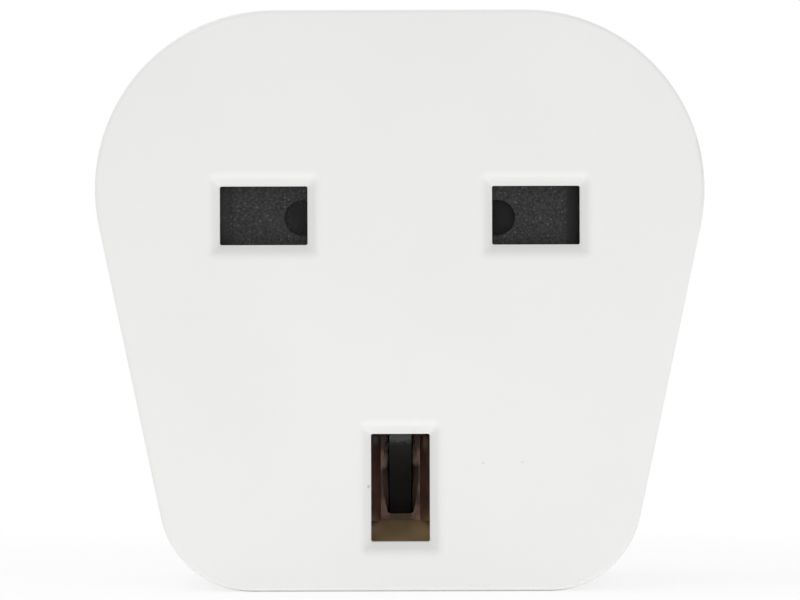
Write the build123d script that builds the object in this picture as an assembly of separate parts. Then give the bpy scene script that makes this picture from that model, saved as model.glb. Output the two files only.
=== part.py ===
from build123d import *

import os
from math import cos, radians, sin

# Travel adapter: a shuttered three-slot socket in front and an earthed two-blade plug behind.
# Millimetres. X runs to the right as the socket is seen, Y runs from its face to the wall, Z runs up.
# The origin is the middle of the rear face, which seats on the wall outlet.
# Depths are counted from the socket face towards the wall.

# Outline of the face
body_width = 49.7
body_height = 47.4
body_depth = 30.4
shoulder_radius = 14.6
foot_radius = 7.6
side_taper = 11.9
face_edge_radius = 0.35

# Walls of the front shell and the rear cover
wall = 2.2
face_thickness = 1.9
cover_depth = 6.4
cover_floor = 3.0
cover_draw_in = 0.8
cover_edge_radius = 1.4
parting_chamfer = 0.25
lip_height = 1.6
lip_thickness = 1.2
fit_gap = 0.2

# Pins that the socket takes
slot_spacing = 22.23
earth_offset = 22.23
earth_rise = 8.42
line_pin_width = 6.35
earth_pin_width = 7.98
pin_thickness = 3.98
slot_clearance = 0.41
slot_corner_radius = 0.15
slot_chamfer = 0.88
mouth_corner_radius = 0.4
mouth_edge_radius = 1.0

# Shutter: two blanking plates, a bridge, a stem and a wedge that the earth pin drives up
shutter_thickness = 2.0
slide_gap = 0.15
plate_margin = 0.65
end_bevel_run = 1.75
end_bevel_drop = 0.5
dimple_inset = 3.13
dimple_drop = 0.17
dimple_radius = 1.45
dimple_depth = 0.8
bridge_height = 4.5
stem_width = 4.0
wedge_width = 1.8
wedge_brow = 0.65
wedge_reach = 2.65
wedge_depth = 7.0
wedge_toe = 0.8
wedge_heel = 2.0
wedge_corner_radius = 0.25
lug_width = 4.0
lug_thickness = 3.6
peg_radius = 0.8
peg_height = 2.0

# Shutter spring
spring_radius = 1.6
spring_wire = 0.36
spring_turns = 7
spring_seat_gap = 0.05

# Ribs inside the front shell
rib = 1.2
pocket_depth = 2.5
guide_length = 9.0
pad_radius = 1.5
pad_spread = 7.0

# Insulating carrier behind the shutter
carrier_thickness = 1.6
sleeve_wall = 1.0
sleeve_end_gap = 0.55

# Folded contact clips
sheet = 0.7
leaf_gap = 2.2
leaf_bow = 0.3
leaf_edge = 0.22
lip_lap = 0.06
leaf_top = 0.2
belly_rise = 1.9
crest_rise = 2.32
crest_run = 1.2
crest_radius = 0.3
web_clearance = 0.6
lip_run = 2.5
lip_spread = 0.95
earth_clip_front_gap = 0.4
line_clip_length = 11.5
earth_clip_length = 17.5

# Wall plug
blade_spacing = 12.7
blade_width = 6.35
blade_thickness = 1.52
blade_length = 17.5
blade_tip_chamfer = 1.2
blade_tip_bevel = 0.4
blade_hole_radius = 1.6
blade_hole_distance = 11.9
blade_fold_radius = 1.2
ground_offset = 11.9
ground_rise = 31.7
ground_pin_radius = 2.38
ground_root_radius = 3.0
ground_pin_length = 21.0
ground_tip_radius = 1.9
flange_radius = 4.0
tenon_radius = 1.3
tenon_head_radius = 2.0
plug_gap = 0.1

# Rivets and straps
foot_length = 6.1
rivet_radius = 1.0
rivet_head_radius = 1.8
rivet_head_height = 0.8
rivet_tail_radius = 1.6
rivet_tail_height = 0.7
rivet_gap = 0.05
strap_margin = 2.6

# Cover screws
boss_radius = 2.4
screw_radius = 1.25
screw_length = 12.4
screw_point = 1.4
screw_head_radius = 2.2
screw_head_height = 1.6
screw_head_edge = 0.5
screw_recess_width = 0.7
screw_recess_length = 2.6
screw_recess_depth = 0.9
screw_gap = 0.05
screw_sink = 2.0
screw_pad = 1.5

# Outline arcs: the sides are tangent to the shoulder and foot arcs
lean = radians(side_taper)
shoulder_x = body_width / 2 - shoulder_radius
shoulder_z = body_height / 2 - shoulder_radius
foot_z = foot_radius - body_height / 2
foot_x = shoulder_x + ((foot_z - shoulder_z) * sin(lean) + shoulder_radius - foot_radius) / cos(lean)

# Slots
earth_z = earth_rise - body_height / 2
line_z = earth_z + earth_offset
line_x = slot_spacing / 2
line_slot = (line_pin_width + 2 * slot_clearance, pin_thickness + 2 * slot_clearance)
earth_slot = (pin_thickness + 2 * slot_clearance, earth_pin_width + 2 * slot_clearance)

# Depths behind the face
shell_depth = body_depth - cover_depth
floor_depth = body_depth - cover_floor
shutter_front = face_thickness + slide_gap
shutter_back = shutter_front + shutter_thickness
carrier_front = shutter_back + slide_gap
carrier_back = carrier_front + carrier_thickness
strap_back = floor_depth - blade_thickness
strap_front = strap_back - sheet
earth_clip_front = face_thickness + earth_clip_front_gap
earth_clip_back = earth_clip_front + earth_clip_length
line_clip_front = carrier_back + fit_gap
line_clip_back = line_clip_front + line_clip_length
boss_end = floor_depth - screw_pad - fit_gap
lug_back = shutter_front + lug_thickness
spring_depth = (shutter_front + lug_back) / 2

# Shutter limits
plate_inner = line_x - line_slot[0] / 2 - plate_margin
plate_outer = line_x + line_slot[0] / 2 + plate_margin
plate_bottom = line_z - line_slot[1] / 2 - plate_margin
plate_top = line_z + line_slot[1] / 2 + plate_margin
stem_bottom = earth_z + earth_pin_width / 2 + leaf_top + 2 * fit_gap
wedge_top = earth_z + earth_slot[1] / 2 - wedge_brow
wedge_bottom = earth_z - wedge_reach
shutter_travel = earth_pin_width / 2 + wedge_reach + slide_gap
ceiling = body_height / 2 - wall

# Clip sections, about the middle of the pin
strap_half = pin_thickness / 2 + sheet
mouth_half = pin_thickness / 2 + lip_spread + sheet
sleeve_half = mouth_half + fit_gap
earth_web_top = earth_z - earth_pin_width / 2 - web_clearance
earth_web_bottom = earth_web_top - sheet

# Plug and fastener places
ground_z = ground_rise - body_height / 2
blade_z = ground_z - ground_offset
blade_x = blade_spacing / 2
foot_outer = blade_x + blade_thickness / 2 + foot_length
rivet_x = foot_outer - strap_margin
top_screw_x = plate_outer + slide_gap + fit_gap + boss_radius
top_screw_z = line_z + sleeve_half + sleeve_wall + boss_radius + fit_gap
screw_spots = [
    (side * x, z) for x, z in ((top_screw_x, top_screw_z), (foot_x, foot_z)) for side in (-1, 1)
]
screw_seat = body_depth - screw_sink
screw_tip = screw_seat - screw_length


def prism(section, front, back):
    """Carries an X-Z section from one depth behind the face to a deeper one."""
    return extrude(Plane.XZ.offset(body_depth - back) * section, amount=back - front)


def block(x_limits, depth_limits, z_limits):
    """Block between limits in X, depth and Z."""
    (x0, x1), (z0, z1) = x_limits, z_limits
    section = Pos((x0 + x1) / 2, (z0 + z1) / 2) * Rectangle(abs(x1 - x0), abs(z1 - z0))
    return prism(section, *depth_limits)


def rod(x, z, radius, front, back):
    """Round bar along Y."""
    return prism(Pos(x, z) * Circle(radius), front, back)


def side_profile(points, x0, x1):
    """Carries a polygon of (depth, Z) points along X."""
    corners = [(depth - body_depth, z) for depth, z in points]
    return extrude(Plane.YZ.offset(x0) * make_face(Polyline(*corners, close=True)), amount=x1 - x0)


def plan_profile(points, z0, z1):
    """Carries a polygon of (X, depth) points along Z."""
    corners = [(x, depth - body_depth) for x, depth in points]
    return extrude(Plane.XY.offset(z0) * make_face(Polyline(*corners, close=True)), amount=z1 - z0)


def outline(inset=0.0):
    """Outline of the body, set in from its outer surface: flat ends, round corners, tapering sides."""

    def on_arc(side, centre, radius, angle):
        return (side * (centre[0] + radius * cos(angle)), centre[1] + radius * sin(angle))

    shoulder, foot = (shoulder_x, shoulder_z), (foot_x, foot_z)
    right_angle = radians(90)
    edges = []
    for side in (1, -1):
        crown = [on_arc(side, shoulder, shoulder_radius - inset, a)
                 for a in (right_angle, (right_angle - lean) / 2, -lean)]
        heel = [on_arc(side, foot, foot_radius - inset, a)
                for a in (-lean, -(right_angle + lean) / 2, -right_angle)]
        edges += [ThreePointArc(*crown), Line(crown[-1], heel[0]), ThreePointArc(*heel)]
    top = body_height / 2 - inset
    bottom = inset - body_height / 2
    edges += [Line((-shoulder_x, top), (shoulder_x, top)), Line((-foot_x, bottom), (foot_x, bottom))]
    return make_face(edges)


def slot_cut(x, z, width, height):
    """Slot through the face, with its flared mouth."""
    throat = RectangleRounded(width, height, slot_corner_radius)
    mouth = RectangleRounded(width + 2 * slot_chamfer, height + 2 * slot_chamfer, mouth_corner_radius)
    flare = loft([
        Plane.XZ.offset(body_depth) * Pos(x, z) * mouth,
        Plane.XZ.offset(body_depth - slot_chamfer) * Pos(x, z) * throat,
    ])
    return prism(Pos(x, z) * throat, 0, face_thickness) + flare


def mouth_edges(shell):
    """Edges where the flared mouths of the slots meet the face."""
    slots = [(side * line_x, line_z, *line_slot) for side in (-1, 1)] + [(0, earth_z, *earth_slot)]
    near = slot_chamfer + fit_gap
    edges = []
    for edge in shell.edges().group_by(Axis.Y)[0]:
        middle = edge.center()
        if any(abs(middle.X - x) < w / 2 + near and abs(middle.Z - z) < h / 2 + near for x, z, w, h in slots):
            edges.append(edge)
    return edges


def boss_rib(x, z, depth_limits, gap=0.0):
    """Rib from a screw boss out to the side wall, or the room that it needs."""
    wall_x = body_width / 2 if x > 0 else -body_width / 2
    half = rib / 2 + gap
    return block(sorted((x, wall_x)), depth_limits, (z - half, z + half))


def shell_ribs():
    """All that stands on the inside of the face: bosses, shutter rails, stops, guides and pads."""
    ribs = []
    rib_end = shell_depth - lip_height - fit_gap
    for x, z in screw_spots:
        ribs.append(rod(x, z, boss_radius, face_thickness, boss_end))
        ribs.append(boss_rib(x, z, (face_thickness, rib_end)))
    rail = plate_outer + slide_gap
    guide = stem_width / 2 + slide_gap
    stop_top = plate_bottom - slide_gap
    pocket = spring_radius + fit_gap
    on_face = (face_thickness, carrier_front)
    for side in (-1, 1):
        rail_x = sorted((side * rail, side * (rail + rib)))
        ribs.append(block(rail_x, on_face, (stop_top - rib, ceiling)))
        stop_x = sorted((side * plate_inner, side * (rail + rib)))
        ribs.append(block(stop_x, on_face, (stop_top - rib, stop_top)))
        guide_x = sorted((side * guide, side * (guide + rib)))
        ribs.append(block(guide_x, on_face, (stop_top - guide_length, stop_top)))
        ribs.append(block(sorted((side * pocket, side * (pocket + rib))), (face_thickness, lug_back),
                          (ceiling - pocket_depth, body_height / 2)))
        ribs.append(rod(side * pad_spread, earth_z, pad_radius, *on_face))
    return ribs


def socket_housing():
    """Front shell: the face with its three slots, the side walls and the ribs inside."""
    shell = prism(outline(), 0, shell_depth)
    shell = fillet(shell.edges().group_by(Axis.Y)[0], face_edge_radius)
    shell = chamfer(shell.edges().group_by(Axis.Y)[-1], parting_chamfer)
    shell -= prism(outline(wall), face_thickness, shell_depth)
    room = prism(outline(wall / 2), face_thickness / 2, boss_end)
    shell += [piece & room for piece in shell_ribs()]
    for x, z in screw_spots:
        shell -= rod(x, z, screw_radius + screw_gap, screw_tip - screw_point, boss_end)
    shell -= [slot_cut(side * line_x, line_z, *line_slot) for side in (-1, 1)]
    shell -= slot_cut(0, earth_z, *earth_slot)
    return fillet(mouth_edges(shell), mouth_edge_radius)


def rear_cover():
    """Back of the body: a shallow drawn-in dish with a lip, openings for the plug and sunk screw holes."""
    dish = loft([
        Plane.XZ.offset(body_depth - shell_depth) * outline(),
        Plane.XZ * outline(cover_draw_in),
    ], ruled=True)
    dish = fillet(dish.edges().group_by(Axis.Y)[-1], cover_edge_radius)
    dish = chamfer(dish.edges().group_by(Axis.Y)[0], parting_chamfer)
    lip_front = shell_depth - lip_height
    dish += prism(outline(wall + fit_gap), lip_front, floor_depth)
    dish -= prism(outline(wall + fit_gap + lip_thickness), lip_front, floor_depth)
    room = prism(outline(wall + fit_gap), lip_front, body_depth)
    for x, z in screw_spots:
        dish -= rod(x, z, boss_radius + fit_gap, lip_front, floor_depth - screw_pad)
        dish += rod(x, z, boss_radius + rib, floor_depth - screw_pad, floor_depth + fit_gap) & room
        dish -= rod(x, z, screw_radius + fit_gap, floor_depth - screw_pad, screw_seat)
        dish -= rod(x, z, screw_head_radius + fit_gap, screw_seat, body_depth)
    frame_height = (floor_depth - blade_thickness + fit_gap, floor_depth)
    foot_z_limits = (blade_z - blade_width / 2 - fit_gap, blade_z + blade_width / 2 + fit_gap)
    for side in (-1, 1):
        foot_x_limits = (blade_x - blade_thickness / 2 - fit_gap, foot_outer + fit_gap)
        frame_x = sorted((side * (foot_x_limits[0] - rib), side * (foot_x_limits[1] + rib)))
        dish += block(frame_x, frame_height, (foot_z_limits[0] - rib, foot_z_limits[1] + rib))
        dish -= block(sorted(side * x for x in foot_x_limits), frame_height, foot_z_limits)
        slot_half = blade_thickness / 2 + plug_gap
        slot_x = (side * blade_x - slot_half, side * blade_x + slot_half)
        slot_z = (blade_z - blade_width / 2 - plug_gap, blade_z + blade_width / 2 + plug_gap)
        dish -= block(slot_x, (floor_depth, body_depth), slot_z)
        dish -= rod(side * rivet_x, blade_z, rivet_tail_radius + fit_gap, floor_depth,
                    floor_depth + rivet_tail_height + fit_gap)
    notch_half = strap_half + fit_gap
    dish -= block((-notch_half, notch_half), (lip_front, floor_depth), (earth_web_bottom - fit_gap, earth_z))
    dish += rod(0, ground_z, flange_radius + fit_gap + rib, *frame_height)
    dish -= rod(0, ground_z, flange_radius + fit_gap, *frame_height)
    dish -= rod(0, ground_z, ground_root_radius + plug_gap, floor_depth, body_depth)
    return dish


def shutter():
    """Slider behind the face: plates over both upper slots, joined to the wedge in the earth slot."""
    plate_plan = [
        (plate_inner, shutter_front),
        (plate_outer - end_bevel_run, shutter_front),
        (plate_outer, shutter_front + end_bevel_drop),
        (plate_outer, shutter_back),
        (plate_inner, shutter_back),
    ]
    layer = (shutter_front, shutter_back)
    bridge = (plate_top - bridge_height, plate_top)
    slider = block((-plate_inner, plate_inner), layer, bridge)
    for side in (-1, 1):
        slider += plan_profile([(side * x, depth) for x, depth in plate_plan], plate_bottom, plate_top)
    for side in (-1, 1):
        slider -= rod(side * (line_x - dimple_inset), line_z - dimple_drop, dimple_radius, shutter_front,
                      shutter_front + dimple_depth)
    slider += block((-stem_width / 2, stem_width / 2), layer, (stem_bottom, plate_top))
    slider += block((-lug_width / 2, lug_width / 2), (shutter_front, lug_back), bridge)
    wedge_back = shutter_front + wedge_depth
    wedge = [
        (shutter_front, stem_bottom + wedge_toe),
        (shutter_front, wedge_top),
        (wedge_back - wedge_toe, wedge_bottom),
        (wedge_back, wedge_bottom),
        (wedge_back, wedge_bottom + wedge_heel),
        (shutter_back, stem_bottom + wedge_toe),
    ]
    nose = side_profile(wedge, -wedge_width / 2, wedge_width / 2)
    slider += fillet(nose.edges().filter_by(Axis.Y).group_by(Axis.Z)[0], wedge_corner_radius)
    peg = Plane.XY.offset(plate_top) * Pos(0, spring_depth - body_depth) * Circle(peg_radius)
    return slider + extrude(peg, amount=peg_height)


def shutter_spring():
    """Coil spring between the shutter's lug and the top wall."""
    low = plate_top + spring_wire / 2 + spring_seat_gap
    high = ceiling - spring_wire / 2 - spring_seat_gap
    coil = Helix((high - low) / spring_turns, high - low, spring_radius - spring_wire / 2,
                 center=(0, spring_depth - body_depth, low))
    return sweep(Plane(coil @ 0, z_dir=coil % 0) * Circle(spring_wire / 2), path=coil)


def contact_carrier():
    """Plate across the shell behind the shutter, with a sleeve behind it around each clip."""
    carrier = prism(outline(wall + fit_gap), carrier_front, carrier_back)
    sleeve_end = strap_front - fit_gap
    outer_half = sleeve_half + sleeve_wall
    web_side = line_pin_width / 2 + web_clearance + sheet + fit_gap
    open_side = line_pin_width / 2 + leaf_top + fit_gap
    hollow = (carrier_back, sleeve_end)
    for side in (-1, 1):
        sleeve_x = (line_x - open_side, line_x + web_side)
        walls_x = (sleeve_x[0] - sleeve_wall, sleeve_x[1] + sleeve_wall)
        walls_z = (line_z - outer_half, line_z + outer_half)
        sleeve_z = (line_z - sleeve_half, line_z + sleeve_half)
        carrier += block(sorted(side * x for x in walls_x), hollow, walls_z)
        carrier -= block(sorted(side * x for x in sleeve_x), hollow, sleeve_z)
        window_x = sorted((side * (line_x - line_slot[0] / 2), side * (line_x + line_slot[0] / 2)))
        window_z = (line_z - line_slot[1] / 2, line_z + line_slot[1] / 2)
        carrier -= block(window_x, (carrier_front, carrier_back), window_z)
        carrier += block(sorted((side * sleeve_half, side * outer_half)), (carrier_front, sleeve_end),
                         (earth_z - earth_pin_width / 2, earth_z + earth_pin_width / 2))
    carrier += block((-outer_half, outer_half), (sleeve_end - sleeve_wall, sleeve_end),
                     (earth_z - earth_pin_width / 2 + sleeve_end_gap, earth_z + earth_pin_width / 2))
    plate = (carrier_front, carrier_back)
    for x, z in screw_spots:
        carrier -= rod(x, z, boss_radius + fit_gap, *plate)
        carrier -= boss_rib(x, z, plate, fit_gap)
    carrier -= block((-sleeve_half, sleeve_half), plate, (-body_height / 2, earth_z + earth_slot[1] / 2))
    wedge_room = wedge_width / 2 + fit_gap
    wedge_reached = stem_bottom + wedge_toe + shutter_travel + fit_gap
    carrier -= block((-wedge_room, wedge_room), plate, (earth_z, wedge_reached))
    spring_room = spring_radius + fit_gap + rib + fit_gap
    spring_z = (plate_top - bridge_height - fit_gap, body_height / 2)
    carrier -= block((-spring_room, spring_room), plate, spring_z)
    return carrier


def clip_leaves(pin_width, front, back):
    """Clip about the middle of its pin: a channel whose three walls fold in at its mouth.

    The side walls fold to bowed leaves that pinch the pin, and the web to a short crest between them.
    """
    web_top = -pin_width / 2 - web_clearance
    crest = web_top + crest_rise
    heel = crest - sheet
    tip = pin_width / 2 + leaf_top
    wall_inner = mouth_half - sheet
    pinch = leaf_gap / 2
    belly = pinch + leaf_bow
    lip_end = belly + leaf_edge
    sill_top = crest - leaf_bow - leaf_edge
    fold = front + lip_run
    clip = block((-mouth_half, mouth_half), (front, back), (web_top - sheet, web_top))
    sill = [
        (front, web_top - sheet),
        (front, web_top),
        (fold, sill_top),
        (fold + sheet, sill_top),
        (fold + sheet, sill_top - sheet),
    ]
    clip += side_profile(sill, fit_gap - wall_inner, wall_inner - fit_gap)
    saddle = Pos(0, (heel + crest + crest_radius) / 2) * Rectangle(leaf_gap + sheet, sheet + crest_radius)
    saddle -= Pos(0, crest + leaf_gap / 2) * RectangleRounded(leaf_gap, leaf_gap, crest_radius)
    clip += prism(saddle, fold, fold + crest_run)
    for side in (-1, 1):
        clip += block(sorted((side * wall_inner, side * mouth_half)), (front, back), (web_top, tip))
        foot = (side * pinch, heel)
        inner = [(side * pinch, crest + crest_radius), (side * belly, crest + belly_rise), (side * pinch, tip)]
        outer = [(x + side * sheet, z) for x, z in inner]
        outer_foot = (foot[0] + side * sheet, heel)
        leaf = make_face([
            Line(foot, inner[0]),
            Spline(*inner),
            Line(inner[-1], outer[-1]),
            Spline(*outer),
            Line(outer[0], outer_foot),
            Line(outer_foot, foot),
        ])
        clip += prism(leaf, fold, back)
        lip = [
            (side * lip_end, fold + sheet),
            (side * lip_end, fold),
            (side * wall_inner, front),
            (side * mouth_half, front),
            (side * (lip_end + sheet), fold + sheet),
        ]
        clip += plan_profile(lip, sill_top - lip_lap, tip)
    return clip


def line_clip(side):
    """Clip behind an upper slot, with its web outside, folded into a strap down to the blade's foot."""
    clip = Pos(side * line_x, 0, line_z) * Rot(0, -90 * side, 0) * clip_leaves(
        line_pin_width, line_clip_front, line_clip_back)
    web_x = line_x + line_pin_width / 2 + web_clearance
    top = line_z + strap_half
    web_x_limits = sorted((side * web_x, side * (web_x + sheet)))
    clip += block(web_x_limits, (line_clip_back, strap_back), (line_z - strap_half, top))
    strap_x = sorted((side * (rivet_x - strap_margin), side * (web_x + sheet)))
    clip += block(strap_x, (strap_front, strap_back), (blade_z - strap_margin, top))
    return clip - rod(side * rivet_x, blade_z, rivet_radius + rivet_gap, strap_front, strap_back)


def earth_clip():
    """Clip behind the lower slot, with its web below, folded into a strap up to the ground pin."""
    clip = Pos(0, 0, earth_z) * clip_leaves(earth_pin_width, earth_clip_front, earth_clip_back)
    across = (-strap_half, strap_half)
    clip += block(across, (earth_clip_back, strap_back), (earth_web_bottom, earth_web_top))
    clip += block(across, (strap_front, strap_back), (earth_web_bottom, ground_z + flange_radius))
    return clip - rod(0, ground_z, tenon_radius + rivet_gap, strap_front, strap_back)


def plug_blade(side):
    """Flat blade with a foot folded outwards inside the cover."""
    x0 = side * (blade_x - blade_thickness / 2)
    x1 = side * (blade_x + blade_thickness / 2)
    z_limits = (blade_z - blade_width / 2, blade_z + blade_width / 2)
    tip = body_depth + blade_length
    blade = block(sorted((x0, x1)), (strap_back, tip), z_limits)
    blade += block(sorted((x0, side * foot_outer)), (strap_back, floor_depth), z_limits)
    corners = blade.edges().filter_by(Axis.X).group_by(Axis.Y)[-1]
    blade = chamfer(corners, blade_tip_chamfer)
    blade = chamfer(blade.edges().filter_by(Axis.Z).group_by(Axis.Y)[-1], blade_tip_bevel)
    fold = blade.edges().filter_by(Axis.Z).group_by(Axis.Y)[0].sort_by(Axis.X)
    blade = fillet(fold[0 if side > 0 else -1], blade_fold_radius)
    hole = Plane.YZ * Pos(blade_hole_distance, blade_z) * Circle(blade_hole_radius)
    blade -= extrude(hole, amount=body_width / 2, both=True)
    return blade - rod(side * rivet_x, blade_z, rivet_radius + rivet_gap, strap_back, floor_depth)


def ground_pin():
    """Turned earth pin: riveted tenon, flange and root inside the cover, and a round-ended pin."""
    pin = rod(0, ground_z, ground_pin_radius, body_depth, body_depth + ground_pin_length)
    pin = fillet(pin.edges().group_by(Axis.Y)[-1], ground_tip_radius)
    pin += rod(0, ground_z, ground_root_radius, floor_depth, body_depth)
    pin += rod(0, ground_z, flange_radius, strap_back, floor_depth)
    pin += rod(0, ground_z, tenon_radius, strap_front, strap_back)
    return pin + rod(0, ground_z, tenon_head_radius, strap_front - rivet_head_height, strap_front)


def strap_rivet(side):
    """Rivet through a strap and its blade's foot."""
    x = side * rivet_x
    head = rod(x, blade_z, rivet_head_radius, strap_front - rivet_head_height, strap_front)
    head = fillet(head.edges().group_by(Axis.Y)[0], rivet_head_height / 2)
    rivet = head + rod(x, blade_z, rivet_radius, strap_front, floor_depth)
    return rivet + rod(x, blade_z, rivet_tail_radius, floor_depth, floor_depth + rivet_tail_height)


def cover_screw(x, z):
    """Pan-head tapping screw, driven from the back."""
    head = rod(x, z, screw_head_radius, screw_seat, screw_seat + screw_head_height)
    head = fillet(head.edges().group_by(Axis.Y)[-1], screw_head_edge)
    half = screw_recess_width / 2
    reach = screw_recess_length / 2
    recess = (screw_seat + screw_head_height - screw_recess_depth, screw_seat + screw_head_height)
    head -= block((x - half, x + half), recess, (z - reach, z + reach))
    head -= block((x - reach, x + reach), recess, (z - half, z + half))
    shank = rod(x, z, screw_radius, screw_tip + screw_point, screw_seat)
    point = loft([
        Plane.XZ.offset(body_depth - screw_tip - screw_point) * Pos(x, z) * Circle(screw_radius),
        Plane.XZ.offset(body_depth - screw_tip) * Pos(x, z) * Circle(screw_radius / 3),
    ])
    return head + shank + point


pieces = {
    "socket_housing": socket_housing(),
    "rear_cover": rear_cover(),
    "contact_carrier": contact_carrier(),
    "shutter": shutter(),
    "shutter_spring": shutter_spring(),
    "live_clip": line_clip(-1),
    "neutral_clip": line_clip(1),
    "earth_clip": earth_clip(),
    "live_blade": plug_blade(-1),
    "neutral_blade": plug_blade(1),
    "ground_pin": ground_pin(),
    "live_rivet": strap_rivet(-1),
    "neutral_rivet": strap_rivet(1),
    "cover_screws": Compound([cover_screw(x, z) for x, z in screw_spots]),
}

os.makedirs("parts", exist_ok=True)
for name, piece in pieces.items():
    export_step(piece, f"parts/{name}.step")
print(f"shutter travel {shutter_travel:.3f}, spring's fixed end at Z {ceiling:.3f}")
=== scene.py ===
import logging
import math
from dataclasses import dataclass, field
from enum import Enum

import bpy
import numpy as np
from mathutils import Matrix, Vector


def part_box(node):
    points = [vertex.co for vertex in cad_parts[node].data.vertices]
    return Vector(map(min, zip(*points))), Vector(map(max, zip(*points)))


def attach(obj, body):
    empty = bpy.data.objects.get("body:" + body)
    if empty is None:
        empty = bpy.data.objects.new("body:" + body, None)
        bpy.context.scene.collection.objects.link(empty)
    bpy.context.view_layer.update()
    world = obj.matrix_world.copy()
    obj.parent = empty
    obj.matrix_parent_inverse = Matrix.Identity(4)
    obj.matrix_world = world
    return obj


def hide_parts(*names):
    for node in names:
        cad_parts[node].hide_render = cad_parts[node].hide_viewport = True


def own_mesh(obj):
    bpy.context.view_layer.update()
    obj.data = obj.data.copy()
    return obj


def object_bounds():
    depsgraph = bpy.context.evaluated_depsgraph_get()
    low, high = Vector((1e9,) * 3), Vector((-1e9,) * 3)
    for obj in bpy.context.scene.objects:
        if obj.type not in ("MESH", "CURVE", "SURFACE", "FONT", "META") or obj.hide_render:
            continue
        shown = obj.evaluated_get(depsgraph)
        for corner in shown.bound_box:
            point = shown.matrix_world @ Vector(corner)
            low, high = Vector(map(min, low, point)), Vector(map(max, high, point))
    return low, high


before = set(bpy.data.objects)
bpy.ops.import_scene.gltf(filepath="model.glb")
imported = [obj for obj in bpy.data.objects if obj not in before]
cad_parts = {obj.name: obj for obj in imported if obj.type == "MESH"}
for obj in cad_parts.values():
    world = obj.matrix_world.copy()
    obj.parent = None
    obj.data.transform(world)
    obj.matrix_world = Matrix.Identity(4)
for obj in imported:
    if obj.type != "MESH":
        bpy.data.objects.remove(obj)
CAD_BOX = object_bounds()
FACE_Y = CAD_BOX[0][1]
FLOOR_Z = CAD_BOX[0][2]
LOG = logging.getLogger("travel_adapter")
MM = 0.001
Pair = tuple[float, float]
Triple = tuple[float, float, float]
Colour = Triple
WHITE: Colour = (1.0, 1.0, 1.0)

# Depth of the earth clip's fold behind the face, in millimetres
FOLD_DEPTH = 4.8
# Stretch of the lines on rolled sheet, and on turned or pressed metal
ROLLED_LINES: Triple = (7000.0, 250.0, 7000.0)
EVEN_LINES: Triple = (2500.0, 2500.0, 2500.0)
# Narrowing of a mark to a thin layer of depth, and its widening to an upright band
THIN_LAYER: Triple = (1.0, 8.0, 1.0)
UPRIGHT_BAND: Triple = (1.0, 1.0, 0.12)


class Body(Enum):
    """Bodies of the adapter that a piece can ride on."""

    ADAPTER = "adapter"
    SHUTTER = "shutter"


class Socket(Enum):
    """Kinds of socket on an effect group."""

    VALUE = "NodeSocketFloat"
    VECTOR = "NodeSocketVector"


class Effect:
    """A shader node group for an effect that several finishes share."""

    def __init__(self, name: str) -> None:
        """Starts an empty group.

        Args:
            name: Name of the group.
        """
        self.tree = bpy.data.node_groups.new(name, "ShaderNodeTree")
        self.entry = self.tree.nodes.new("NodeGroupInput")
        self.exit = self.tree.nodes.new("NodeGroupOutput")

    def takes(self, name: str, kind: Socket, default: object) -> None:
        """Adds a named input of a kind, with its value where a finish sets none."""
        socket = self.tree.interface.new_socket(name, in_out="INPUT", socket_type=kind.value)
        socket.default_value = default

    def gives(self, name: str, kind: Socket, source: bpy.types.NodeSocket) -> None:
        """Adds a named output of a kind, and the socket that feeds it."""
        self.tree.interface.new_socket(name, in_out="OUTPUT", socket_type=kind.value)
        self.tree.links.new(source, self.exit.inputs[name])

    def add(self, kind: str, inputs: dict | None = None, **settings: object) -> bpy.types.Node:
        """Adds a node to the group, in the way of add_node."""
        return add_node(self.tree, kind, inputs, **settings)


def add_node(
    tree: bpy.types.NodeTree, kind: str, inputs: dict | None = None, **settings: object
) -> bpy.types.Node:
    """Adds a node, sets its attributes and fills its inputs.

    Args:
        tree: Tree that gets the node.
        kind: Type of the node.
        inputs: Values or source sockets by input name or number.
        **settings: Attributes of the node.

    Returns:
        The new node.
    """
    node = tree.nodes.new(kind)
    for key, value in settings.items():
        setattr(node, key, value)
    for key, value in (inputs or {}).items():
        if isinstance(value, bpy.types.NodeSocket):
            tree.links.new(value, node.inputs[key])
        else:
            node.inputs[key].default_value = value
    return node


def rgba(colour: Colour) -> tuple[float, float, float, float]:
    """Adds a full alpha to a colour."""
    return (*colour, 1.0)


def grey(level: float) -> Colour:
    """Makes a neutral colour."""
    return (level, level, level)


def behind_face(x: float, depth: float, z: float) -> Triple:
    """Point at so many millimetres right of the middle, behind the face and above the middle."""
    return (x * MM, FACE_Y + depth * MM, z * MM)


def moulded_grain() -> bpy.types.NodeTree:
    """Grain of a moulded surface: fine noise for its height and broad noise for its clouding.

    Returns:
        The group, with outputs Height and Cloud.
    """
    effect = Effect("moulded_grain")
    effect.takes("Grain Scale", Socket.VALUE, 6000.0)
    effect.takes("Cloud Scale", Socket.VALUE, 60.0)
    place = effect.add("ShaderNodeTexCoord").outputs["Object"]
    fine = effect.add(
        "ShaderNodeTexNoise",
        {"Vector": place, "Scale": effect.entry.outputs["Grain Scale"], "Detail": 3.0, "Roughness": 0.6},
    )
    broad = effect.add(
        "ShaderNodeTexNoise",
        {"Vector": place, "Scale": effect.entry.outputs["Cloud Scale"], "Detail": 2.0},
    )
    effect.gives("Height", Socket.VALUE, fine.outputs["Fac"])
    effect.gives("Cloud", Socket.VALUE, broad.outputs["Fac"])
    return effect.tree


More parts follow.
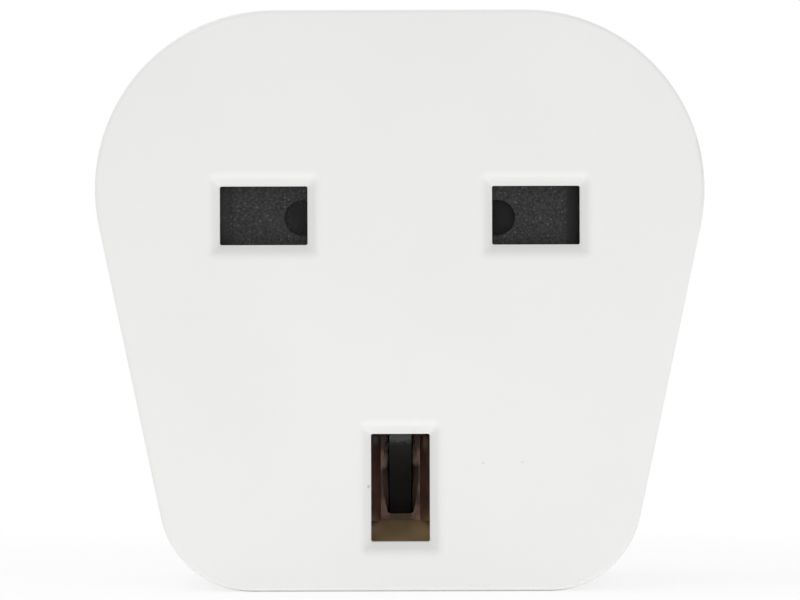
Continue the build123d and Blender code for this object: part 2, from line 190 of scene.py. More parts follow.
def spot_mark() -> bpy.types.NodeTree:
    """A single spot: full near its centre, and gone at its radius.

    Returns:
        The group, with the output Mask.
    """
    effect = Effect("spot_mark")
    effect.takes("Centre", Socket.VECTOR, (0.0, 0.0, 0.0))
    effect.takes("Radius", Socket.VALUE, 0.0001)
    effect.takes("Core", Socket.VALUE, 0.5)
    effect.takes("Narrowing", Socket.VECTOR, (1.0, 1.0, 1.0))
    place = effect.add("ShaderNodeTexCoord").outputs["Object"]
    offset = effect.add(
        "ShaderNodeVectorMath", {0: place, 1: effect.entry.outputs["Centre"]}, operation="SUBTRACT"
    )
    shaped = effect.add(
        "ShaderNodeVectorMath",
        {0: offset.outputs[0], 1: effect.entry.outputs["Narrowing"]},
        operation="MULTIPLY",
    )
    apart = effect.add("ShaderNodeVectorMath", {0: shaped.outputs[0]}, operation="LENGTH")
    share = effect.add(
        "ShaderNodeMath",
        {0: apart.outputs["Value"], 1: effect.entry.outputs["Radius"]},
        operation="DIVIDE",
    )
    mask = effect.add(
        "ShaderNodeMapRange",
        {
            "Value": share.outputs[0],
            "From Min": effect.entry.outputs["Core"],
            "From Max": 1.0,
            "To Min": 1.0,
            "To Max": 0.0,
        },
    )
    effect.gives("Mask", Socket.VALUE, mask.outputs["Result"])
    return effect.tree


def dust_specks() -> bpy.types.NodeTree:
    """Sparse specks: a dot at the middle of some cells of a cell pattern.

    Returns:
        The group, with the output Mask.
    """
    effect = Effect("dust_specks")
    effect.takes("Cells", Socket.VALUE, 220.0)
    effect.takes("Size", Socket.VALUE, 0.03)
    effect.takes("Share", Socket.VALUE, 0.1)
    place = effect.add("ShaderNodeTexCoord").outputs["Object"]
    cells = effect.add(
        "ShaderNodeTexVoronoi", {"Vector": place, "Scale": effect.entry.outputs["Cells"], "Randomness": 1.0}
    )
    near = effect.add(
        "ShaderNodeMath",
        {0: cells.outputs["Distance"], 1: effect.entry.outputs["Size"]},
        operation="LESS_THAN",
    )
    parts = effect.add("ShaderNodeSeparateColor", {"Color": cells.outputs["Color"]})
    chosen = effect.add(
        "ShaderNodeMath",
        {0: parts.outputs["Red"], 1: effect.entry.outputs["Share"]},
        operation="LESS_THAN",
    )
    mask = effect.add(
        "ShaderNodeMath", {0: near.outputs[0], 1: chosen.outputs[0]}, operation="MULTIPLY"
    )
    effect.gives("Mask", Socket.VALUE, mask.outputs[0])
    return effect.tree


def rolled_streaks() -> bpy.types.NodeTree:
    """Rolling and drawing lines of a metal: noise stretched along one direction, and broad tarnish.

    Returns:
        The group, with outputs Streak and Tarnish.
    """
    effect = Effect("rolled_streaks")
    effect.takes("Stretch", Socket.VECTOR, (6000.0, 200.0, 6000.0))
    effect.takes("Tarnish Scale", Socket.VALUE, 250.0)
    place = effect.add("ShaderNodeTexCoord").outputs["Object"]
    drawn = effect.add(
        "ShaderNodeVectorMath", {0: place, 1: effect.entry.outputs["Stretch"]}, operation="MULTIPLY"
    )
    lines = effect.add("ShaderNodeTexNoise", {"Vector": drawn.outputs[0], "Scale": 1.0, "Detail": 3.0})
    broad = effect.add(
        "ShaderNodeTexNoise",
        {"Vector": place, "Scale": effect.entry.outputs["Tarnish Scale"], "Detail": 4.0, "Roughness": 0.6},
    )
    tarnish = effect.add(
        "ShaderNodeMapRange", {"Value": broad.outputs["Fac"], "From Min": 0.35, "From Max": 0.65}
    )
    effect.gives("Streak", Socket.VALUE, lines.outputs["Fac"])
    effect.gives("Tarnish", Socket.VALUE, tarnish.outputs["Result"])
    return effect.tree


@dataclass
class EffectSet:
    """The shared effects, each built once."""

    grain: bpy.types.NodeTree = field(default_factory=moulded_grain)
    spot: bpy.types.NodeTree = field(default_factory=spot_mark)
    specks: bpy.types.NodeTree = field(default_factory=dust_specks)
    streaks: bpy.types.NodeTree = field(default_factory=rolled_streaks)


EFFECTS = EffectSet()


@dataclass(frozen=True)
class Spot:
    """A mark on a surface, round or narrowed along some axes."""

    centre: Triple
    radius: float
    colour: Colour
    core: float = 0.5
    narrowing: Triple = (1.0, 1.0, 1.0)


class Recipe:
    """A material being put together around one Principled shader."""

    # Numbers of a colour mix's sockets, whose names aren't unique
    MIX_FACTOR, MIX_LOW, MIX_HIGH, MIX_RESULT = 0, 6, 7, 2

    def __init__(self, name: str) -> None:
        """Starts the material.

        Args:
            name: Name of the material.
        """
        self.material = bpy.data.materials.new(name)
        self.material.use_nodes = True
        self.tree = self.material.node_tree
        self.shader = self.tree.nodes["Principled BSDF"]

    def add(self, kind: str, inputs: dict | None = None, **settings: object) -> bpy.types.Node:
        """Adds a node to the material, in the way of add_node."""
        return add_node(self.tree, kind, inputs, **settings)

    def effect(self, group: bpy.types.NodeTree, **values: object) -> bpy.types.Node:
        """Places a shared effect with its input values, whose names have an underscore for each space."""
        inputs = {key.replace("_", " "): value for key, value in values.items()}
        return self.add("ShaderNodeGroup", inputs, node_tree=group)

    def mix(self, mask: object, low: object, high: object) -> bpy.types.NodeSocket:
        """Mixes two colours by a mask.

        Args:
            mask: Factor, a value or a socket.
            low: Colour where the mask is 0, a colour or a socket.
            high: Colour where the mask is 1, a colour or a socket.

        Returns:
            Socket of the mixed colour.
        """
        sources = [c if isinstance(c, bpy.types.NodeSocket) else rgba(c) for c in (low, high)]
        inputs = {self.MIX_FACTOR: mask, self.MIX_LOW: sources[0], self.MIX_HIGH: sources[1]}
        return self.add("ShaderNodeMix", inputs, data_type="RGBA").outputs[self.MIX_RESULT]

    def mark(self, colour: bpy.types.NodeSocket, spots: tuple[Spot, ...]) -> bpy.types.NodeSocket:
        """Puts spots on a colour.

        Args:
            colour: Socket of the colour.
            spots: The spots, the last one uppermost.

        Returns:
            Socket of the marked colour.
        """
        for spot in spots:
            mask = self.effect(
                EFFECTS.spot, Centre=spot.centre, Radius=spot.radius, Core=spot.core, Narrowing=spot.narrowing
            )
            colour = self.mix(mask.outputs["Mask"], colour, spot.colour)
        return colour

    def spread(
        self, value: bpy.types.NodeSocket, low: float, high: float, start: float = 0.3, end: float = 0.7
    ) -> bpy.types.NodeSocket:
        """Spreads a value over a range.

        Args:
            value: Socket of the value.
            low: Result at the start.
            high: Result at the end.
            start: Value at which the range starts.
            end: Value at which it ends.

        Returns:
            Socket of the result.
        """
        node = self.add(
            "ShaderNodeMapRange",
            {"Value": value, "From Min": start, "From Max": end, "To Min": low, "To Max": high},
        )
        return node.outputs["Result"]

    def bump(self, height: bpy.types.NodeSocket, depth: float) -> None:
        """Raises the surface by a height from 0 to 1, where 1 is the depth in metres."""
        node = self.add("ShaderNodeBump", {"Strength": 1.0, "Distance": depth, "Height": height})
        self.feed("Normal", node.outputs["Normal"])

    def feed(self, name: str, source: object) -> None:
        """Feeds an input of the shader.

        Args:
            name: Name of the input.
            source: Value or socket.
        """
        if isinstance(source, bpy.types.NodeSocket):
            self.tree.links.new(source, self.shader.inputs[name])
        else:
            self.shader.inputs[name].default_value = source


@dataclass(frozen=True)
class MouldedPlastic:
    """Moulded plastic with a fine grain, a little clouding and a few specks."""

    name: str
    colour: Colour
    cloud_colour: Colour
    roughness: Pair
    grain_scale: float
    grain_depth: float
    cloud_scale: float = 70.0
    specular: float = 0.5
    speck_colour: Colour = (0.35, 0.33, 0.3)
    speck_cells: float = 260.0
    speck_size: float = 0.022
    speck_share: float = 0.0
    spots: tuple[Spot, ...] = ()

    def material(self) -> bpy.types.Material:
        """Makes the material.

        Returns:
            The material.
        """
        recipe = Recipe(self.name)
        grain = recipe.effect(EFFECTS.grain, Grain_Scale=self.grain_scale, Cloud_Scale=self.cloud_scale)
        cloud = recipe.spread(grain.outputs["Cloud"], 0.0, 1.0)
        colour = recipe.mix(cloud, self.colour, self.cloud_colour)
        if self.speck_share:
            specks = recipe.effect(
                EFFECTS.specks, Cells=self.speck_cells, Size=self.speck_size, Share=self.speck_share
            )
            colour = recipe.mix(specks.outputs["Mask"], colour, self.speck_colour)
        recipe.feed("Base Color", recipe.mark(colour, self.spots))
        recipe.feed("Roughness", recipe.spread(grain.outputs["Cloud"], *self.roughness))
        recipe.feed("Specular IOR Level", self.specular)
        recipe.bump(grain.outputs["Height"], self.grain_depth)
        return recipe.material


@dataclass(frozen=True)
class SpeckledPlastic:
    """Dark plastic with a sparkling grain, as of glass-filled nylon.

    Its ramp is painted near black as shade and painted paler towards the toe as light, and painted shade and
    painted light lie in marks on the rest.
    """

    name: str
    colour: Colour
    fleck_colour: Colour
    sparkle_colour: Colour
    roughness: Pair
    grain_scale: float
    grain_depth: float
    specular: float
    # Painted shade and painted light, laid on as spots
    painted_shade_and_light: tuple[Spot, ...]
    cloud_scale: float = 350.0
    fleck_limits: Pair = (0.38, 0.74)
    sparkle_cells: float = 3400.0
    sparkle_size: float = 0.3
    sparkle_share: float = 0.24
    # Painted shade makes the ramp near black, and painted light makes it paler towards its toe
    ramp_limits: Pair = (-11.9 * MM, -11.5 * MM)
    ramp_toe: float = -17.9 * MM
    ramp_colours: tuple[Colour, Colour] = (grey(0.006), (0.091, 0.082, 0.074))
    toe_light_power: float = 3.8

    def material(self) -> bpy.types.Material:
        """Makes the material.

        Returns:
            The material.
        """
        recipe = Recipe(self.name)
        grain = recipe.effect(EFFECTS.grain, Grain_Scale=self.grain_scale, Cloud_Scale=self.cloud_scale)
        fleck = recipe.spread(grain.outputs["Height"], 0.0, 1.0, *self.fleck_limits)
        sparkle = recipe.effect(
            EFFECTS.specks, Cells=self.sparkle_cells, Size=self.sparkle_size, Share=self.sparkle_share
        )
        colour = recipe.mix(fleck, self.colour, self.fleck_colour)
        colour = recipe.mix(sparkle.outputs["Mask"], colour, self.sparkle_colour)
        # Puts on the painted shade and painted light
        colour = recipe.mark(colour, self.painted_shade_and_light)
        # Painted shade on the ramp below its top, and painted light growing towards the toe
        place = recipe.add("ShaderNodeTexCoord").outputs["Object"]
        height = recipe.add("ShaderNodeSeparateXYZ", {"Vector": place}).outputs["Z"]
        below = recipe.spread(height, 1.0, 0.0, *self.ramp_limits)
        down = recipe.spread(height, 1.0, 0.0, self.ramp_toe, self.ramp_limits[0])
        toe_light = recipe.add("ShaderNodeMath", {0: down, 1: self.toe_light_power}, operation="POWER").outputs[0]
        recipe.feed("Base Color", recipe.mix(below, colour, recipe.mix(toe_light, *self.ramp_colours)))
        recipe.feed("Roughness", recipe.spread(grain.outputs["Cloud"], *self.roughness))
        recipe.feed("Specular IOR Level", self.specular)
        recipe.bump(grain.outputs["Height"], self.grain_depth)
        return recipe.material


@dataclass(frozen=True)
class WorkedMetal:
    """Rolled, drawn or turned metal: a clean colour, a tarnished one and fine lines along the work."""

    name: str
    colour: Colour
    tarnish_colour: Colour
    roughness: Pair
    stretch: Triple = ROLLED_LINES
    line_depth: float = 2e-6
    tarnish_scale: float = 250.0
    metallic: float = 1.0
    # Painted highlights and painted light, where a piece has them
    painted_light_and_shade: tuple[Spot, ...] = ()

    def material(self) -> bpy.types.Material:
        """Makes the material.

        Returns:
            The material.
        """
        recipe = Recipe(self.name)
        streaks = recipe.effect(EFFECTS.streaks, Stretch=self.stretch, Tarnish_Scale=self.tarnish_scale)
        colour = recipe.mix(streaks.outputs["Tarnish"], self.colour, self.tarnish_colour)
        recipe.feed("Base Color", recipe.mark(colour, self.painted_light_and_shade))
        recipe.feed("Roughness", recipe.spread(streaks.outputs["Streak"], *self.roughness))
        recipe.feed("Metallic", self.metallic)
        recipe.bump(streaks.outputs["Streak"], self.line_depth)
        return recipe.material


@dataclass(frozen=True)
class BrownedClip:
    """Sheet brass gone brown: red-brown side lips, an olive sill under them painted paler as light, and
    leaves behind the fold painted dark as shade.

    The sill is told from the lips by the height above its slope. Marks are painted highlights on the leaves,
    painted light on the sill's ends and the lips' tops, and a painted shade at the crest.
    """

    name: str
    lip_colours: tuple[Colour, Colour]
    lit_sill_colours: tuple[Colour, Colour]
    shaded_leaf_colours: tuple[Colour, Colour]
    sill_slope: float
    sill_limits: Pair
    fold_limits: Pair
    metallic: Pair
    roughness: Pair
    painted_light_and_shade: tuple[Spot, ...]
    tarnish_scale: float = 420.0
    stretch: Triple = ROLLED_LINES
    line_depth: float = 2e-6

    def material(self) -> bpy.types.Material:
        """Makes the material.

        Returns:
            The material.
        """
        recipe = Recipe(self.name)
        streaks = recipe.effect(EFFECTS.streaks, Stretch=self.stretch, Tarnish_Scale=self.tarnish_scale)
        place = recipe.add("ShaderNodeTexCoord").outputs["Object"]
        upright = (0.0, -self.sill_slope, 1.0)
        height = recipe.add("ShaderNodeVectorMath", {0: place, 1: upright}, operation="DOT_PRODUCT")
        above = recipe.spread(height.outputs["Value"], 0.0, 1.0, *self.sill_limits)
        depth = recipe.add("ShaderNodeSeparateXYZ", {"Vector": place}).outputs["Y"]
        behind = recipe.spread(depth, 0.0, 1.0, *self.fold_limits)
        tarnish = streaks.outputs["Tarnish"]
        lip = recipe.mix(tarnish, *self.lip_colours)
        # The sill's colours are painted paler as light on it, and the leaves' colours painted dark as shade
        sill = recipe.mix(tarnish, *self.lit_sill_colours)
        leaf = recipe.mix(tarnish, *self.shaded_leaf_colours)
        colour = recipe.mix(behind, recipe.mix(above, sill, lip), leaf)
        # Painted highlights, painted light and one painted shade on the colour
        recipe.feed("Base Color", recipe.mark(colour, self.painted_light_and_shade))
        recipe.feed("Roughness", recipe.spread(streaks.outputs["Streak"], *self.roughness))
        recipe.feed("Metallic", recipe.spread(above, *self.metallic, 0.0, 1.0))
        recipe.bump(streaks.outputs["Streak"], self.line_depth)
        return recipe.material


def dress(node: str, material: bpy.types.Material) -> None:
    """Gives a CAD node its finish.

    Args:
        node: Name of the node.
        material: The finish.
    """
    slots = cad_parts[node].data.materials
    slots.clear()
    slots.append(material)
    LOG.info("%s dressed in %s", node, material.name)


def grid_faces(rows: int, columns: int, start: int = 0) -> np.ndarray:
    """Quads of a grid that closes on itself along its columns.

    Face (i, j) joins points (i, j), (i, j + 1), (i + 1, j + 1) and (i + 1, j), with j taken round the ring.

    Args:
        rows: Number of rings.
        columns: Points on a ring.
        start: Number of the first point.

    Returns:
        Point numbers, one row of four for each face.
    """
    i, j = np.meshgrid(np.arange(rows - 1), np.arange(columns), indexing="ij")
    ring, next_ring = i * columns, (i + 1) * columns
    after = (j + 1) % columns
    quads = np.stack([ring + j, ring + after, next_ring + after, next_ring + j], -1)
    return quads.reshape(-1, 4) + start


def ease(share: np.ndarray) -> np.ndarray:
    """Half a cosine wave, from 0 at a share of 0 to 1 at a share of 1, and level outside."""
    return (1 - np.cos(math.pi * np.clip(share, 0.0, 1.0))) / 2


def new_piece(name: str, points: np.ndarray, faces: list, material: bpy.types.Material) -> bpy.types.Object:
    """Puts worked-out points and faces into a smooth mesh at the origin.

    Args:
        name: Name of the piece.
        points: Its points, in metres in the frame.
        faces: Point numbers of each face.
        material: Its finish.

    Returns:
        The new object.
    """
    mesh = bpy.data.meshes.new(name)
    mesh.from_pydata(points, [], faces)
    mesh.polygons.foreach_set("use_smooth", np.ones(len(mesh.polygons), bool))
    mesh.materials.append(material)
    mesh.update()
    piece = bpy.data.objects.new(name, mesh)
    bpy.context.scene.collection.objects.link(piece)
    return piece


@dataclass
class Case:
    """White front shell and rear cover, and the insulating carrier inside them."""

    shell: MouldedPlastic = MouldedPlastic(
        name="white_shell",
        colour=(0.83, 0.83, 0.815),
        cloud_colour=(0.815, 0.815, 0.8),
        roughness=(0.3, 0.38),
        grain_scale=5200.0,
        grain_depth=1.2e-6,
        spots=(
            Spot(behind_face(6.76, 0.0, -13.26), 0.11 * MM, (0.69, 0.68, 0.66)),
            Spot(behind_face(9.94, 0.0, -13.18), 0.11 * MM, (0.69, 0.68, 0.66)),
            Spot(behind_face(-2.62, 0.7, -15.16), 0.2 * MM, (0.63, 0.57, 0.51)),
        ),
    )
    cover: MouldedPlastic = MouldedPlastic(
        name="white_cover",
        colour=(0.82, 0.82, 0.805),
        cloud_colour=(0.8, 0.8, 0.785),
        roughness=(0.42, 0.5),
        grain_scale=3200.0,
        grain_depth=4e-6,
        speck_share=0.05,
    )
    carrier: MouldedPlastic = MouldedPlastic(
        name="carrier_plastic",
        colour=grey(0.06),
        cloud_colour=grey(0.05),
        roughness=(0.5, 0.6),
        grain_scale=3500.0,
        grain_depth=4e-6,
    )

    def dress(self) -> None:
        """Gives the three mouldings their finishes."""
        dress("socket_housing", self.shell.material())
        dress("rear_cover", self.cover.material())
        dress("contact_carrier", self.carrier.material())


@dataclass
class ShutterUnit:
    """Dark slider that closes the upper slots, and the coil spring above it."""

    turns: float = 9.0
    dead_turns: float = 1.0
    wire_radius: float = 0.18 * MM
    steps_per_turn: int = 40
    wire_sides: int = 12
    plastic: SpeckledPlastic = SpeckledPlastic(
        name="dark_shutter",
        colour=grey(0.0095),
        fleck_colour=grey(0.0485),
        sparkle_colour=grey(0.065),
        roughness=(0.5, 0.65),
        grain_scale=5600.0,
        grain_depth=8e-6,
        specular=0.3,
        # Painted shade in both dimples and at the right end, painted light on the tongue's top and at the
        # left end
        painted_shade_and_light=(
            Spot(behind_face(7.985, 2.85, 6.78), 1.5 * MM, grey(0.006), 0.97),
            Spot(behind_face(-7.985, 2.85, 6.78), 1.6 * MM, grey(0.0085), 0.4),
            Spot(behind_face(0.0, 2.05, -11.1), 0.45 * MM, (0.044, 0.0455, 0.044), 0.7, (0.4, 1.0, 1.0)),
            Spot(behind_face(14.4, 2.3, 6.95), 1.25 * MM, grey(0.0135), 0.4, UPRIGHT_BAND),
            Spot(behind_face(-14.7, 2.3, 6.95), 0.8 * MM, grey(0.048), 0.1, UPRIGHT_BAND),
        ),
    )
    wire: WorkedMetal = WorkedMetal(
        name="spring_steel",
        colour=(0.55, 0.55, 0.56),
        tarnish_colour=(0.42, 0.42, 0.43),
        roughness=(0.25, 0.4),
        stretch=(900.0, 900.0, 7000.0),
        line_depth=1.5e-6,
    )

    def dress(self) -> None:
        """Gives the slider its finish."""
        dress("shutter", self.plastic.material())

    def coil_points(self) -> np.ndarray:
        """Points on the wire of the spring.

        The wire's middle runs round the axis at one radius while it climbs: by one wire thickness in each
        end turn, which so lies closed, and evenly in the turns between. A ring of points stands around it,
        in the plane of the outward direction and the axis.

        Returns:
            Array of shape (rings, sides, 3).
        """
        low, high = (np.array(corner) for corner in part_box("shutter_spring"))
        middle = (low + high) / 2
        coil_radius = (high[0] - low[0]) / 2 - self.wire_radius
        turn = np.linspace(0.0, self.turns, int(self.turns * self.steps_per_turn) + 1)
        closed = 2 * self.wire_radius * self.dead_turns
        bottom, top = low[2] + self.wire_radius, high[2] - self.wire_radius
        climb = np.interp(
            turn,
            [0.0, self.dead_turns, self.turns - self.dead_turns, self.turns],
            [bottom, bottom + closed, top - closed, top],
        )
        angle = 2 * math.pi * turn[:, None]
        around = np.linspace(0.0, 2 * math.pi, self.wire_sides, endpoint=False)[None, :]
        reach = coil_radius + self.wire_radius * np.cos(around)
        return np.stack(
            [
                middle[0] + reach * np.cos(angle),
                middle[1] + reach * np.sin(angle),
                climb[:, None] + self.wire_radius * np.sin(around),
            ],
            axis=-1,
        )

    def build_spring(self) -> bpy.types.Object:
        """Makes the coil spring in the box of the CAD spring, rides it on the adapter's body and hides the
        CAD spring.

        Returns:
            The spring.
        """
        points = self.coil_points()
        rings, sides = points.shape[:2]
        faces = grid_faces(rings, sides)[:, ::-1].tolist()
        faces.append(list(range(sides)))
        faces.append(list(range((rings - 1) * sides, rings * sides))[::-1])
        spring = new_piece("coil_spring", points.reshape(-1, 3), faces, self.wire.material())
        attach(spring, Body.ADAPTER.value)
        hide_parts("shutter_spring")
        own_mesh(spring)
        LOG.info("coil_spring built with %d points", rings * sides)
        return spring


@dataclass
class Contacts:
    """Brown brass clips for the pins of a plug, the earth clip's sprung tongues, and the straps' rivets."""

    brass: WorkedMetal = WorkedMetal(
        name="clip_brass",
        colour=(0.3, 0.2, 0.11),
        tarnish_colour=(0.16, 0.095, 0.06),
        roughness=(0.32, 0.46),
    )
    earth_brass: BrownedClip = BrownedClip(
        name="earth_clip_brass",
        lip_colours=((0.29, 0.155, 0.125), (0.2, 0.1, 0.08)),
        # Painted light makes the sill paler, and painted shade makes the leaves dark
        lit_sill_colours=((0.36, 0.25, 0.135), (0.3, 0.21, 0.115)),
        shaded_leaf_colours=((0.057, 0.034, 0.026), (0.043, 0.026, 0.02)),
        sill_slope=0.72,
        sill_limits=(0.4 * MM, 0.48 * MM),
        fold_limits=(FACE_Y + (FOLD_DEPTH - 0.06) * MM, FACE_Y + (FOLD_DEPTH - 0.01) * MM),
        metallic=(0.45, 0.75),
        roughness=(0.3, 0.42),
        # Painted highlights on the leaves, a painted shade at the crest, painted light on the sill's ends and
        # the lips' tops
        painted_light_and_shade=(
            Spot(behind_face(-1.35, FOLD_DEPTH, -13.15), 1.0 * MM, (0.133, 0.077, 0.058), 0.6, THIN_LAYER),
            Spot(behind_face(1.4, FOLD_DEPTH, -12.9), 0.8 * MM, (0.133, 0.077, 0.056), 0.5, THIN_LAYER),
            Spot(behind_face(-1.35, FOLD_DEPTH, -17.1), 1.0 * MM, (0.1, 0.06, 0.042), 0.5, THIN_LAYER),
            Spot(behind_face(1.35, FOLD_DEPTH, -17.45), 0.8 * MM, (0.1, 0.06, 0.042), 0.5, THIN_LAYER),
            Spot(behind_face(1.5, FOLD_DEPTH, -15.4), 0.55 * MM, (0.1, 0.062, 0.056), 0.3, THIN_LAYER),
            Spot(
                behind_face(0.0, FOLD_DEPTH, -17.74), 0.36 * MM, (0.046, 0.03, 0.0155), 0.8, (0.36, 1.0, 1.0)
            ),
            Spot(behind_face(2.4, 3.6, -18.7), 1.9 * MM, (0.56, 0.4, 0.21), 0.1),
            Spot(behind_face(-2.4, 3.8, -18.4), 1.2 * MM, (0.46, 0.36, 0.29), 0.1),
            Spot(behind_face(2.02, 4.05, -11.65), 0.95 * MM, (0.7, 0.46, 0.29), 0.3, (1.0, 1.35, 1.0)),
            Spot(behind_face(-2.02, 4.05, -11.35), 0.8 * MM, (0.46, 0.37, 0.36), 0.3, (1.0, 1.1, 1.0)),
        ),
    )
    tongue_brass: WorkedMetal = WorkedMetal(
        name="tongue_brass",
        colour=(0.125, 0.08, 0.06),
        tarnish_colour=(0.1, 0.066, 0.05),
        roughness=(0.35, 0.5),
        metallic=0.3,
        # Painted highlights on the tongues, and painted light on their upper ends
        painted_light_and_shade=(
            Spot(behind_face(-1.4, 5.25, -13.0), 0.95 * MM, (0.75, 0.58, 0.5), 0.5),
            Spot(behind_face(1.15, 5.5, -12.7), 1.05 * MM, (0.92, 0.68, 0.58), 0.5),
            Spot(behind_face(-1.15, 5.6, -11.4), 1.1 * MM, (0.9, 0.82, 0.78), 0.6),
            Spot(behind_face(1.15, 5.6, -11.4), 1.1 * MM, (0.95, 0.74, 0.64), 0.6),
        ),
    )
    tongue_run: Pair = (FACE_Y + 5.0 * MM, FACE_Y + 11.4 * MM)
    tongue_rise: Pair = (-17.3 * MM, -10.9 * MM)
    tongue_reach: Triple = (1.6 * MM, 0.97 * MM, 1.25 * MM)
    tongue_throat: float = 0.12
    tongue_sheet: float = 0.2 * MM
    rivet: WorkedMetal = WorkedMetal(
        name="rivet_brass",
        colour=(0.62, 0.44, 0.2),
        tarnish_colour=(0.5, 0.33, 0.15),
        roughness=(0.3, 0.42),
        stretch=EVEN_LINES,
    )

    def dress(self) -> None:
        """Gives the clips and rivets their finishes."""
        brass = self.brass.material()
        for node in ("live_clip", "neutral_clip"):
            dress(node, brass)
        dress("earth_clip", self.earth_brass.material())
        rivet = self.rivet.material()
        for node in ("live_rivet", "neutral_rivet"):
            dress(node, rivet)

    def tongue_section(self, steps: int = 24) -> np.ndarray:
        """Section of the right tongue, seen from above.

        Its inner line runs from front to back. Its distance from the middle eases from the root to the
        throat and from there to the heel, each time along half a cosine wave. The outer line comes back
        one sheet beside it.

        Args:
            steps: Points on each line.

        Returns:
            Array of shape (points, 2), with x and y.
        """
        root, throat, heel = self.tongue_reach
        share = np.linspace(0.0, 1.0, steps)
        fall = ease(share / self.tongue_throat)
        flare = ease((share - self.tongue_throat) / (1 - self.tongue_throat))
        inner = root + (throat - root) * fall + (heel - throat) * flare
        front, back = self.tongue_run
        along = front + (back - front) * share
        lines = [np.stack([inner, along], -1), np.stack([inner + self.tongue_sheet, along], -1)[::-1]]
        return np.concatenate(lines)

    def build_tongues(self) -> bpy.types.Object:
        """Makes the two sprung tongues inside the earth clip, which press on the pin from both sides.

        The section is carried straight up from the foot to the top, and mirrored for the left tongue.

        Returns:
            The tongues.
        """
        x, y = self.tongue_section().T
        z = np.array(self.tongue_rise)[:, None]
        count = len(x)
        points, faces = [], []
        for side in (1, -1):
            start = len(points) * 2 * count
            points.append(np.stack(np.broadcast_arrays(side * x, y, z), axis=-1).reshape(-1, 3))
            bottom = list(range(start, start + count))
            top = list(range(start + count, start + 2 * count))[::-1]
            walls = grid_faces(2, count, start)[:, ::-1].tolist()
            faces += [face[::side] for face in [*walls, bottom, top]]
        tongues = new_piece("earth_tongues", np.concatenate(points), faces, self.tongue_brass.material())
        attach(tongues, Body.ADAPTER.value)
        LOG.info("earth_tongues built with %d faces", len(faces))
        return tongues


@dataclass
class WallPlug:
    """Plated blades and earth pin on the back, and the screws of the cover."""

    blade: WorkedMetal = WorkedMetal(
        name="plated_blade",
        colour=(0.68, 0.66, 0.61),
        tarnish_colour=(0.6, 0.57, 0.51),
        roughness=(0.2, 0.34),
        stretch=(5000.0, 220.0, 5000.0),
        line_depth=1.5e-6,
    )
    pin: WorkedMetal = WorkedMetal(
        name="plated_pin",
        colour=(0.68, 0.66, 0.61),
        tarnish_colour=(0.6, 0.57, 0.51),
        roughness=(0.18, 0.32),
        stretch=(300.0, 7000.0, 300.0),
        line_depth=1.5e-6,
    )
    screw: WorkedMetal = WorkedMetal(
        name="screw_steel",
        colour=(0.6, 0.6, 0.62),
        tarnish_colour=grey(0.5),
        roughness=(0.25, 0.42),
        stretch=EVEN_LINES,
    )

    def dress(self) -> None:
        """Gives the plug and the screws their finishes."""
        blade = self.blade.material()
        for node in ("live_blade", "neutral_blade"):
            dress(node, blade)
        dress("ground_pin", self.pin.material())
        dress("cover_screws", self.screw.material())


@dataclass(frozen=True)
class Softbox:
    """A large soft lamp, with or without shine on glossy surfaces."""

    name: str
    place: Triple
    target: Triple
    size: Pair
    power: float
    shine: bool = True

    def build(self) -> bpy.types.Object:
        """Hangs the lamp and turns it to its target.

        Returns:
            The lamp.
        """
        lamp = bpy.data.lights.new(self.name, "AREA")
        lamp.shape = "RECTANGLE"
        lamp.size, lamp.size_y = self.size
        lamp.energy = self.power
        holder = bpy.data.objects.new(self.name, lamp)
        holder.location = self.place
        way = np.array(self.target) - np.array(self.place)
        holder.rotation_euler = Vector(way).to_track_quat("-Z", "Y").to_euler()
        holder.visible_camera = False
        holder.visible_glossy = self.shine
        bpy.context.scene.collection.objects.link(holder)
        return holder


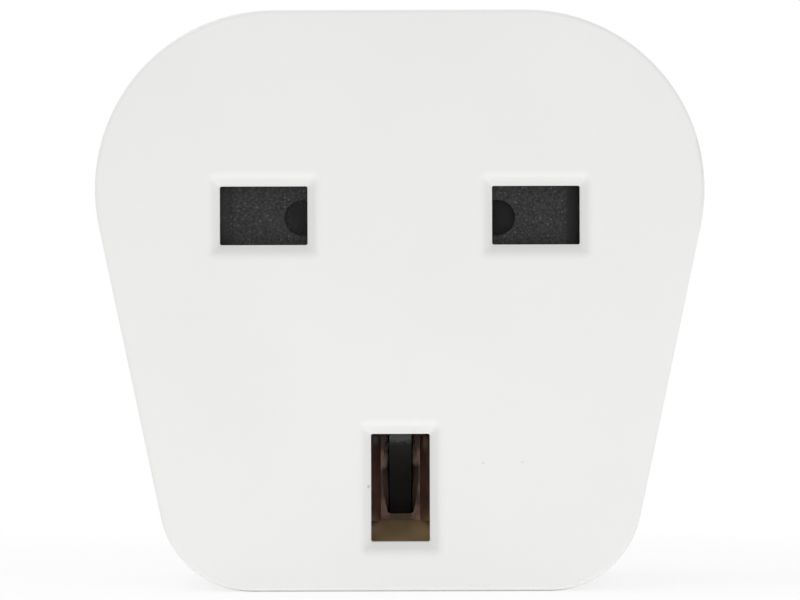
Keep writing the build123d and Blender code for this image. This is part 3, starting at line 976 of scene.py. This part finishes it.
@dataclass
class Studio:
    """White surroundings, a pale floor, soft lamps and the camera."""

    floor_reach: float = 1.5
    floor_colour: Colour = grey(0.9)
    floor_roughness: float = 0.9
    floor_glow: Pair = (0.8, 1.0)
    shadow_middle: float = 10.0 * MM
    glow_reach: Pair = (35.0 * MM, 75.0 * MM)
    sky_strength: float = 0.858
    camera_distance: float = 400.0 * MM
    camera_rise: float = 0.045 * MM
    camera_roll: float = math.radians(0.147)
    field_width: float = 65.15 * MM
    camera_clip: Pair = (0.01, 10.0)
    sensor_width: float = 36.0
    low_lamp: Softbox = Softbox(
        name="low_front_softbox",
        place=(0.035, -0.15, -0.16),
        target=(0.0, -0.03, 0.0),
        size=(0.22, 0.17),
        power=0.141,
        shine=False,
    )
    high_lamp: Softbox = Softbox(
        name="high_softbox",
        place=(-0.3, 0.1, 0.6),
        target=(0.0, 0.0, 0.0),
        size=(0.5, 0.5),
        power=0.8,
    )

    def seen_rays(self, tree: bpy.types.NodeTree) -> bpy.types.NodeSocket:
        """Tells the rays that see the surroundings from those that light the object.

        Args:
            tree: Tree that gets the nodes.

        Returns:
            Socket that is 1 for camera, glossy and transmission rays.
        """
        path = add_node(tree, "ShaderNodeLightPath")
        first = add_node(
            tree,
            "ShaderNodeMath",
            {0: path.outputs["Is Camera Ray"], 1: path.outputs["Is Glossy Ray"]},
            operation="MAXIMUM",
        )
        last = add_node(
            tree,
            "ShaderNodeMath",
            {0: first.outputs[0], 1: path.outputs["Is Transmission Ray"]},
            operation="MAXIMUM",
        )
        return last.outputs[0]

    def build_world(self) -> None:
        """Makes the surroundings: white where they are seen, and softer as light."""
        world = bpy.data.worlds.new("surroundings")
        world.use_nodes = True
        bpy.context.scene.world = world
        tree = world.node_tree
        strength = add_node(
            tree,
            "ShaderNodeMapRange",
            {"Value": self.seen_rays(tree), "To Min": self.sky_strength, "To Max": 1.0},
        )
        background = tree.nodes["Background"]
        background.inputs["Color"].default_value = rgba(WHITE)
        tree.links.new(strength.outputs["Result"], background.inputs["Strength"])

    def floor_material(self) -> bpy.types.Material:
        """Makes the pale floor's finish: white where it is seen, with the adapter's shadow on it.

        Returns:
            The material.
        """
        middle = (0.0, self.shadow_middle, FLOOR_Z)
        recipe = Recipe("pale_floor")
        tree = recipe.tree
        recipe.feed("Base Color", rgba(self.floor_colour))
        recipe.feed("Roughness", self.floor_roughness)
        recipe.feed("Specular IOR Level", 0.0)
        glow = recipe.add("ShaderNodeEmission", {"Color": rgba(WHITE), "Strength": 1.0})
        place = recipe.add("ShaderNodeTexCoord").outputs["Object"]
        away = recipe.add("ShaderNodeVectorMath", {0: place, 1: middle}, operation="DISTANCE")
        level = recipe.spread(away.outputs["Value"], *self.floor_glow, *self.glow_reach)
        share = recipe.add("ShaderNodeMath", {0: self.seen_rays(tree), 1: level}, operation="MULTIPLY")
        both = recipe.add(
            "ShaderNodeMixShader", {0: share.outputs[0], 1: recipe.shader.outputs[0], 2: glow.outputs[0]}
        )
        tree.links.new(both.outputs[0], tree.nodes["Material Output"].inputs["Surface"])
        return recipe.material

    def build_floor(self) -> bpy.types.Object:
        """Lays the floor in two sheets, which meet under the adapter's face.

        Returns:
            The front sheet.
        """
        reach = self.floor_reach
        material = self.floor_material()
        limits = {"back_floor": (FACE_Y, reach), "front_floor": (-reach, FACE_Y)}
        for name, (front, back) in limits.items():
            x = np.array([-reach, reach, reach, -reach])
            y = np.array([front, front, back, back])
            points = np.column_stack([x, y, np.full(len(x), FLOOR_Z)])
            sheet = new_piece(name, points, [[0, 1, 2, 3]], material)
        return sheet

    def build_lamps(self, front_floor: bpy.types.Object) -> None:
        """Hangs the lamps, and lets the low one shine up through the front floor as through a light table.

        Args:
            front_floor: Front sheet of the floor.
        """
        self.high_lamp.build()
        low = self.low_lamp.build()
        blockers = bpy.data.collections.new("low_lamp_blockers")
        blockers.objects.link(front_floor)
        low.light_linking.blocker_collection = blockers
        blockers.collection_objects[0].light_linking.link_state = "EXCLUDE"

    def build_camera(self) -> None:
        """Sets the camera square to the face, turned a little about its own axis as in the photo."""
        camera = bpy.data.cameras.new("camera")
        camera.sensor_width = self.sensor_width
        camera.lens = self.sensor_width * self.camera_distance / self.field_width
        camera.clip_start, camera.clip_end = self.camera_clip
        holder = bpy.data.objects.new("camera", camera)
        holder.location = (0.0, FACE_Y - self.camera_distance, self.camera_rise)
        holder.rotation_euler = (math.pi / 2, self.camera_roll, 0.0)
        bpy.context.scene.collection.objects.link(holder)
        bpy.context.scene.camera = holder

    def build(self) -> None:
        """Makes the whole studio."""
        self.build_world()
        self.build_lamps(self.build_floor())
        self.build_camera()
        bpy.context.scene.view_settings.view_transform = "Standard"
        LOG.info("studio built")


def main() -> None:
    """Builds and dresses the adapter, then the studio around it."""
    logging.basicConfig(level=logging.INFO, format="%(message)s")
    Studio().build()
    Case().dress()
    shutter = ShutterUnit()
    shutter.dress()
    shutter.build_spring()
    contacts = Contacts()
    contacts.dress()
    contacts.build_tongues()
    WallPlug().dress()


if __name__ == "__main__":
    main()
